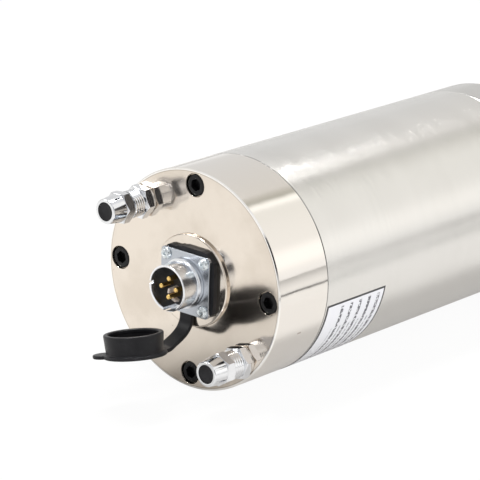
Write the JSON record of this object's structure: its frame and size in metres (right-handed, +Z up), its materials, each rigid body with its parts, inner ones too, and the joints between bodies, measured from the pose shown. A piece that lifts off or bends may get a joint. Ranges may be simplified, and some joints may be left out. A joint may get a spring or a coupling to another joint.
{
  "type": "motor spindle",
  "caption": "Round water-cooled motor spindle with a spring collet nose, two plugged hose fittings and a power connector with its dust cap hanging open.",
  "frame": {"origin": "on the spindle's axis, at the mouth of the collet's bore", "axes": "+X along the axis, out of the nose; +Z up, with one hose fitting up and one down; +Y to the left seen from the tail end"},
  "size_m": [0.3069, 0.1, 0.1],
  "materials": {
    "bright_plating": "polished nickel-like plating",
    "brushed_steel": "brushed round the tube",
    "black_screws": "black oxide",
    "aluminium": "turned",
    "rubber": "moulded",
    "satin_steel": "satin",
    "laminations": "stacked sheet",
    "copper_wire": "varnished wire",
    "lead_sleeve": "insulated",
    "ground_steel": "ground",
    "balls": "polished",
    "spring_steel": "tempered",
    "connector_plating": "bright plated",
    "fitting_plating": "bright plated",
    "black_insert": "moulded",
    "gilt_pins": "gilt",
    "zinc_screws": "zinc plated",
    "bearing_cage": "laminated resin"
  },
  "bodies": {
    "casing": {"rear_cover": "bright_plating", "rear_cover_screws": "black_screws", "body_tube": "brushed_steel", "water_jacket": "aluminium", "jacket_o_rings": "rubber", "port_seals": "rubber", "front_cover": "satin_steel", "front_cover_screws": "black_screws", "bearing_cap": "satin_steel", "bearing_cap_screws": "black_screws", "stator_core": "laminations", "stator_winding": "copper_wire", "motor_leads": "lead_sleeve", "front_1_outer_ring": "ground_steel", "front_2_outer_ring": "ground_steel", "rear_1_outer_ring": "ground_steel", "rear_2_outer_ring": "ground_steel", "outer_spacer": "ground_steel", "wave_spring": "spring_steel", "rear_bearing_housing": "aluminium", "connector_shell": "connector_plating", "connector_insert": "black_insert", "connector_pins": "gilt_pins", "connector_screws": "zinc_screws", "connector_gasket": "rubber", "upper_hose_fitting": "fitting_plating", "lower_hose_fitting": "fitting_plating"},
    "rotor": {"shaft": "ground_steel", "rotor_core": "laminations", "rotor_cage": "aluminium", "front_1_inner_ring": "ground_steel", "front_2_inner_ring": "ground_steel", "rear_1_inner_ring": "ground_steel", "rear_2_inner_ring": "ground_steel", "inner_spacer": "ground_steel", "front_lock_nut": "ground_steel", "rear_lock_nut": "ground_steel", "dust_ring": "satin_steel"},
    "front_ball_sets": {"front_1_cage": "bearing_cage", "front_1_balls": "balls", "front_2_cage": "bearing_cage", "front_2_balls": "balls"},
    "rear_ball_sets": {"rear_1_cage": "bearing_cage", "rear_1_balls": "balls", "rear_2_cage": "bearing_cage", "rear_2_balls": "balls"},
    "collet": {"collet": "ground_steel"},
    "collet_nut": {"collet_nut": "satin_steel"},
    "upper_plug": {"upper_hose_plug": "rubber"},
    "upper_nut": {"upper_hose_nut": "fitting_plating"},
    "lower_plug": {"lower_hose_plug": "rubber"},
    "lower_nut": {"lower_hose_nut": "fitting_plating"},
    "dust_cap": {"dust_cap": "rubber"}
  },
  "joints": [
    {"name": "rotor_spin", "type": "hinge", "parent": "casing", "child": "rotor", "pos_m": [-0.15, 0, 0], "axis": [1, 0, 0], "continuous": true},
    {"name": "front_balls_spin", "type": "hinge", "parent": "casing", "child": "front_ball_sets", "pos_m": [-0.06, 0, 0], "axis": [1, 0, 0], "continuous": true},
    {"name": "rear_balls_spin", "type": "hinge", "parent": "casing", "child": "rear_ball_sets", "pos_m": [-0.222, 0, 0], "axis": [1, 0, 0], "continuous": true},
    {"name": "collet_draw", "type": "slide", "parent": "rotor", "child": "collet", "axis": [1, 0, 0], "range_m": [0, 0.0075]},
    {"name": "collet_nut_turn", "type": "hinge", "parent": "collet", "child": "collet_nut", "pos_m": [-0.01, 0, 0], "axis": [1, 0, 0], "range_deg": [-0.1, 1800.5]},
    {"name": "upper_plug_draw", "type": "slide", "parent": "casing", "child": "upper_plug", "axis": [-1, 0, 0], "range_m": [-0.001, 0.003]},
    {"name": "upper_nut_turn", "type": "hinge", "parent": "upper_plug", "child": "upper_nut", "pos_m": [-0.2746, 0.0297, 0.0297], "axis": [-1, 0, 0], "range_deg": [-360.5, 1080.5]},
    {"name": "lower_plug_draw", "type": "slide", "parent": "casing", "child": "lower_plug", "axis": [-1, 0, 0], "range_m": [0, 0.004]},
    {"name": "lower_nut_turn", "type": "hinge", "parent": "lower_plug", "child": "lower_nut", "pos_m": [-0.2733, -0.0297, -0.0297], "axis": [-1, 0, 0], "range_deg": [-0.1, 1440.5]},
    {"name": "dust_cap_swing", "type": "hinge", "parent": "casing", "child": "dust_cap", "pos_m": [-0.26885, 0.0006, -0.0263], "axis": [0, 1, 0], "range_deg": [-40, 35], "stiffness_Nm_per_rad": 0.0015, "springref_deg": 28.07}
  ],
  "couplings": [
    {"joint": "front_balls_spin", "follows": "rotor_spin", "ratio": 0.4148},
    {"joint": "rear_balls_spin", "follows": "rotor_spin", "ratio": 0.4116},
    {"joint": "collet_nut_turn", "follows": "collet_draw", "rad_per_m": 4188.8},
    {"joint": "upper_nut_turn", "follows": "upper_plug_draw", "rad_per_m": 6283.2},
    {"joint": "lower_nut_turn", "follows": "lower_plug_draw", "rad_per_m": 6283.2}
  ]
}
